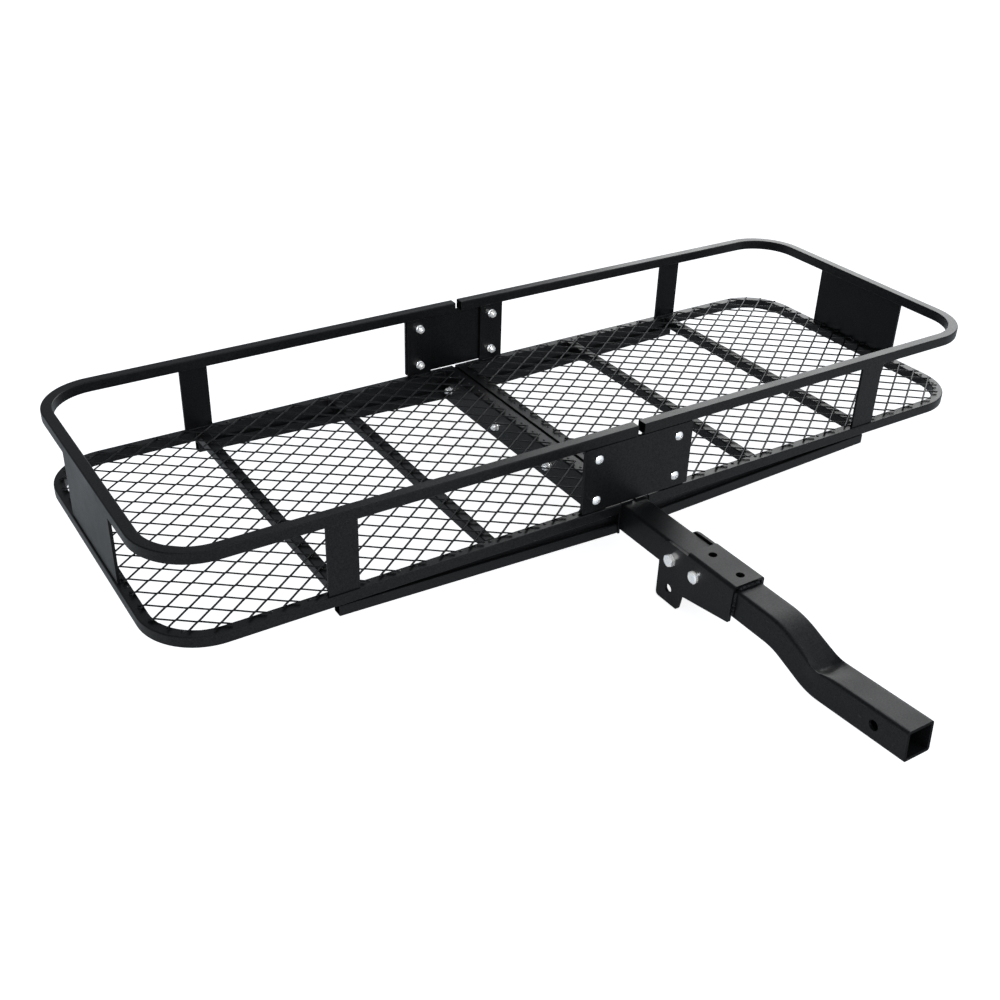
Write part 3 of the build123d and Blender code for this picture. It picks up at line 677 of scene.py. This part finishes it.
# ---- shank ---------------------------------------------------------------------------
def shank_line():
    """Evenly spaced points of the shank's centreline, from the bracket to the open end, and
    the middle of its lower bend."""
    start_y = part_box("shank")[1].y
    tube_low, tube_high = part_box("centre_tube")
    axis_z = (tube_low.z + tube_high.z) / 2
    fall = math.tan(SHANK_PITCH)
    corners = [Vector((0, start_y, axis_z)), Vector((0, SHANK_UPPER_BEND[0], axis_z)),
               Vector((0, SHANK_LOWER_BEND[0], -SHANK_LOWER_BEND[0] * fall)),
               Vector((0, -PIN_TO_END * math.cos(SHANK_PITCH), PIN_TO_END * math.sin(SHANK_PITCH)))]
    line = [corners[0]]
    bends = []
    for before, corner, after, radius in zip(corners, corners[1:], corners[2:],
                                             (SHANK_UPPER_BEND[1], SHANK_LOWER_BEND[1])):
        back, ahead = (before - corner).normalized(), (after - corner).normalized()
        half = back.angle(ahead) / 2
        reach = radius / math.tan(half)
        centre = corner + (back + ahead).normalized() * (radius / math.sin(half))
        first, last = corner + back * reach - centre, corner + ahead * reach - centre
        bends.append(centre + (first + last).normalized() * radius)
        for k in range(BEND_POINTS + 1):
            spoke = first.slerp(last, k / BEND_POINTS)
            line.append(centre + spoke * radius / spoke.length)
    line.append(corners[-1])
    return even_line(line, SHANK_STEP), bends[1]


def even_line(points, step):
    """A line's points respaced evenly."""
    lengths = [0.0]
    for first, second in zip(points, points[1:]):
        lengths.append(lengths[-1] + (second - first).length)
    count = round(lengths[-1] / step)
    spaced, k = [], 0
    for n in range(count + 1):
        wanted = lengths[-1] * n / count
        while k < len(points) - 2 and lengths[k + 1] < wanted:
            k += 1
        share = (wanted - lengths[k]) / max(lengths[k + 1] - lengths[k], 1e-9)
        spaced.append(points[k].lerp(points[k + 1], min(1.0, max(0.0, share))))
    return spaced


def square_outline(half, corner, side_points=14, corner_points=5):
    """A rounded square as (across, up), starting at the right end of its top side."""
    outline = []
    flat = half - corner
    for turn in range(4):
        angle = turn * math.pi / 2
        cos_a, sin_a = math.cos(angle), math.sin(angle)
        side = [(flat * (1 - 2 * k / side_points), half) for k in range(side_points + 1)]
        arc = [(-flat - corner * math.sin(a), flat + corner * math.cos(a))
               for a in (math.pi / 2 * k / corner_points for k in range(1, corner_points))]
        outline += [(u * cos_a - v * sin_a, u * sin_a + v * cos_a) for u, v in side + arc]
    return outline


def shank_ring(point, along, outline, half, pinch):
    """One section of the shank; its top wall sinks by the pinch and its sides bulge."""
    across = Vector((1, 0, 0))
    up = across.cross(along)
    if up.z < 0:
        up = -up
    ring = []
    for u, v in outline:
        top = max(0.0, v / half) ** 6
        share = pinch / SHANK_PINCH
        sunk = pinch * top * (1 - abs(u / half) ** 3) + SHANK_CORNER_DROP * top * share ** 2
        bulge = 1 + SHANK_BULGE * share * max(0.0, v / half) * (abs(u) > 0.8 * half)
        ring.append(point + across * u * bulge + up * (v - sunk))
    return ring


def shank():
    """The bent square tube with the dent that bending leaves, in place of the plain one."""
    line, dent = shank_line()
    bm = bmesh.new()
    outer_rings, inner_rings = [], []
    outer = square_outline(SHANK_HALF, SHANK_CORNER)
    inner = square_outline(SHANK_HALF - SHANK_WALL, SHANK_INNER_CORNER)
    wave, rate = SHANK_PINCH_WAVE
    for k, point in enumerate(line):
        along = (line[min(k + 1, len(line) - 1)] - line[max(k - 1, 0)]).normalized()
        away = (point - dent).dot(along) / SHANK_PINCH_REACH
        pinch = SHANK_PINCH * math.exp(-away * away) * (1 + wave * math.cos(rate * away))
        outer_rings.append(shank_ring(point, along, outer, SHANK_HALF, pinch))
        inner_rings.append(shank_ring(point, along, inner, SHANK_HALF - SHANK_WALL, pinch))
    rows = [skin(bm, rings, capped=False) for rings in (outer_rings, inner_rings)]
    for end in (0, -1):
        ring_out, ring_in = rows[0][end], rows[1][end]
        for n in range(len(ring_out)):
            m = (n + 1) % len(ring_out)
            bm.faces.new((ring_out[n], ring_out[m], ring_in[m], ring_in[n])).material_index = 1
    hole = bmesh.new()
    bmesh.ops.create_cone(hole, cap_ends=True, segments=48, radius1=PIN_HOLE_RADIUS,
                          radius2=PIN_HOLE_RADIUS, depth=4 * SHANK_HALF,
                          matrix=Matrix.Rotation(math.pi / 2, 4, "Y"))
    piece = make_piece("bent_shank", cut(bm, hole), HITCH, "black_hitch_steel", sharp=32.0,
                       material=SHANK_COAT)
    piece.data.materials.append(CUT_END_COAT)
    edges = piece.modifiers.new("edges", "BEVEL")
    edges.width = SHANK_EDGE
    edges.segments = 2
    edges.limit_method = "ANGLE"
    edges.angle_limit = math.radians(55)
    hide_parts("shank")


# ---- threads -------------------------------------------------------------------------
def thread(radius, pitch, length):
    """A short threaded sleeve that stands on the origin along +Z."""
    bm = bmesh.new()
    count = max(THREAD_RINGS, round(length / pitch * THREAD_RINGS))
    rings = []
    for k in range(count + 1):
        z = length * k / count
        ring = []
        for n in range(THREAD_SIDES):
            phase = (z / pitch - n / THREAD_SIDES) % 1.0
            crest = 1 - abs(2 * phase - 1)
            taper = min(1.0, (length - z) / (0.6 * pitch))
            size = radius * THREAD_ROOT + THREAD_DEPTH * radius * crest * taper
            angle = math.tau * n / THREAD_SIDES
            ring.append(Vector((size * math.cos(angle), size * math.sin(angle), z)))
        rings.append(ring)
    skin(bm, rings)
    return bm


def splice_threads():
    """The threaded tips of the eight splice bolts, inside the basket."""
    places = []
    for end, turn in (("front", 1), ("rear", -1)):
        plate_low, plate_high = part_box(f"{end}_splice_plate")
        outer_y = plate_low.y if turn > 0 else plate_high.y
        for side in ("left", "right"):
            low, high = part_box(f"{side}_{end}_splice_post")
            middle = (low + high) / 2
            for step in (-0.5, 0.5):
                z = middle.z + step * SPLICE_BOLT_PITCH
                tip = Vector((middle.x, outer_y + turn * SPLICE_GRIP, z))
                places.append(looking((0, turn, 0), tip))
    bm = copies(thread(*SMALL_THREAD, THREAD_LENGTH), places)
    make_piece("splice_bolt_threads", bm, BASKET, "zinc_hardware", sharp=25.0)


def tray_threads():
    """The threaded tips of the four bolts through the centre tube."""
    nut_low, nut_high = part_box("tray_nuts")
    z = (nut_low.z + nut_high.z) / 2
    middle = (nut_low.y + nut_high.y) / 2
    places = [looking((-1, 0, 0), Vector((nut_low.x, middle + step * TRAY_BOLT_PITCH, z)))
              for step in (-1.5, -0.5, 0.5, 1.5)]
    bm = copies(thread(*SMALL_THREAD, THREAD_LENGTH), places)
    make_piece("tray_bolt_threads", bm, BASKET, "zinc_hardware", sharp=25.0)


def hinge_threads():
    """The threaded tips of the pivot bolt and the stop bolt."""
    places = []
    for name in ("pivot_nut", "stop_nut"):
        low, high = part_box(name)
        tip = Vector((high.x, (low.y + high.y) / 2, (low.z + high.z) / 2))
        places.append(looking((1, 0, 0), tip))
    bm = copies(thread(*HINGE_THREAD, THREAD_LENGTH), places)
    make_piece("hinge_bolt_threads", bm, HITCH, "zinc_hardware", sharp=25.0)


# ---- finish of the kept nodes --------------------------------------------------------
def dress_cad_node(name, slot, width):
    """Better finish and softened edges for a CAD node that stays."""
    obj = frame["nodes"][name]
    obj.data.materials.clear()
    obj.data.materials.append(MATERIALS[slot])
    weld = obj.modifiers.new("weld", "WELD")
    weld.merge_threshold = MERGE_DISTANCE
    edges = obj.modifiers.new("edges", "BEVEL")
    edges.width = width
    edges.segments = 2
    edges.limit_method = "ANGLE"
    edges.angle_limit = EDGE_ANGLE
    edges.use_clamp_overlap = True
    shading = obj.modifiers.new("shading", "WEIGHTED_NORMAL")
    shading.keep_sharp = False
    shading.weight = 60


def dress_all():
    """Every kept CAD node's finish."""
    for part in frame["record"]["subparts"]:
        slot = part["material_slot"]
        if part["node"] in REBUILT:
            continue
        width = ZINC_EDGE if slot == "zinc_hardware" else COATED_EDGE
        dress_cad_node(part["node"], slot, width)


# ---- studio --------------------------------------------------------------------------
def studio_floor():
    """A wide pale floor just under the lowest point."""
    bm = bmesh.new()
    bmesh.ops.create_grid(bm, x_segments=8, y_segments=8, size=FLOOR_SIZE)
    mesh = bpy.data.meshes.new("studio_floor")
    bm.to_mesh(mesh)
    bm.free()
    floor = bpy.data.objects.new("studio_floor", mesh)
    floor.location.z = CAD_BOX[0][2] - FLOOR_DROP
    bpy.context.scene.collection.objects.link(floor)
    mesh.materials.append(floor_paper())
    floor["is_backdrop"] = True


def area_light(name, point, target, size, power, lit):
    """A square soft box aimed at a point, which lights only the given pieces."""
    data = bpy.data.lights.new(name, "AREA")
    data.shape = "SQUARE"
    data.size = size
    data.energy = power
    light = bpy.data.objects.new(name, data)
    light.location = point
    light.rotation_euler = (Vector(target) - Vector(point)).to_track_quat("-Z", "Y").to_euler()
    light.light_linking.receiver_collection = lit
    bpy.context.scene.collection.objects.link(light)


def lit_pieces(name, zinc):
    """A collection of the shown pieces with, or without, the zinc finish."""
    lit = bpy.data.collections.new(name)
    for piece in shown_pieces():
        if (piece.data.materials[0] == MATERIALS["zinc_hardware"]) == zinc:
            lit.objects.link(piece)
    return lit


def soft_sky():
    """A dim sky, brighter towards the right, the front and overhead, and white to the camera."""
    world = bpy.data.worlds.new("studio")
    bpy.context.scene.world = world
    world.use_nodes = True
    tree = world.node_tree
    background = tree.nodes["Background"]
    coords = node(tree, "ShaderNodeTexCoord").outputs["Generated"]
    split = node(tree, "ShaderNodeSeparateXYZ")
    tree.links.new(coords, split.inputs[0])
    sideways = remap(tree, split.outputs["X"], -0.2, 0.9, SKY_LEFT, SKY_RIGHT)
    forwards = remap(tree, split.outputs["Y"], -0.6, 0.1, SKY_FRONT, 0.0)
    overhead = remap(tree, split.outputs["Z"], 0.5, 1.0, 1.0, SKY_TOP)
    level = math_node(tree, "MULTIPLY", math_node(tree, "ADD", sideways, forwards), overhead)
    seen = node(tree, "ShaderNodeLightPath").outputs["Is Camera Ray"]
    level = math_node(tree, "MAXIMUM", level, seen)
    tree.links.new(level, background.inputs["Strength"])
    tree.links.new(blend_colour(tree, seen, SKY_TINT, grey(1.0)), background.inputs["Color"])


def studio_camera():
    """The camera, which looks along the viewing angles from its place."""
    azimuth, elevation, roll = (math.radians(angle) for angle in CAMERA_ANGLES)
    data = bpy.data.cameras.new("camera")
    data.lens = CAMERA_LENS
    data.sensor_width = CAMERA_SENSOR
    data.clip_end = CAMERA_REACH
    camera = bpy.data.objects.new("camera", data)
    back = Vector((math.sin(azimuth) * math.cos(elevation),
                   -math.cos(azimuth) * math.cos(elevation), math.sin(elevation)))
    right = Vector((math.cos(azimuth), math.sin(azimuth), 0.0))
    up = back.cross(right)
    turned_right = right * math.cos(roll) + up * math.sin(roll)
    turned_up = up * math.cos(roll) - right * math.sin(roll)
    rotation = Matrix((turned_right, turned_up, back)).transposed()
    camera.matrix_world = Matrix.Translation(CAMERA_PLACE) @ rotation.to_4x4()
    bpy.context.scene.collection.objects.link(camera)
    bpy.context.scene.camera = camera


dress_all()
floor_mesh(-1, "left_floor_mesh")
floor_mesh(1, "right_floor_mesh")
upright_welds()
cross_bar_welds()
bracket_welds()
mesh_tacks()
shank()
splice_threads()
tray_threads()
hinge_threads()
studio_floor()
soft_sky()
HARDWARE = lit_pieces("zinc", True)
COATED = lit_pieces("black", False)
area_light("right_softbox", *RIGHT_SOFTBOX, COATED)
area_light("hardware_softbox", *HARDWARE_SOFTBOX, HARDWARE)
area_light("rear_hardware_softbox", *REAR_HARDWARE_SOFTBOX, HARDWARE)
studio_camera()
bpy.context.scene.view_settings.view_transform = "Standard"
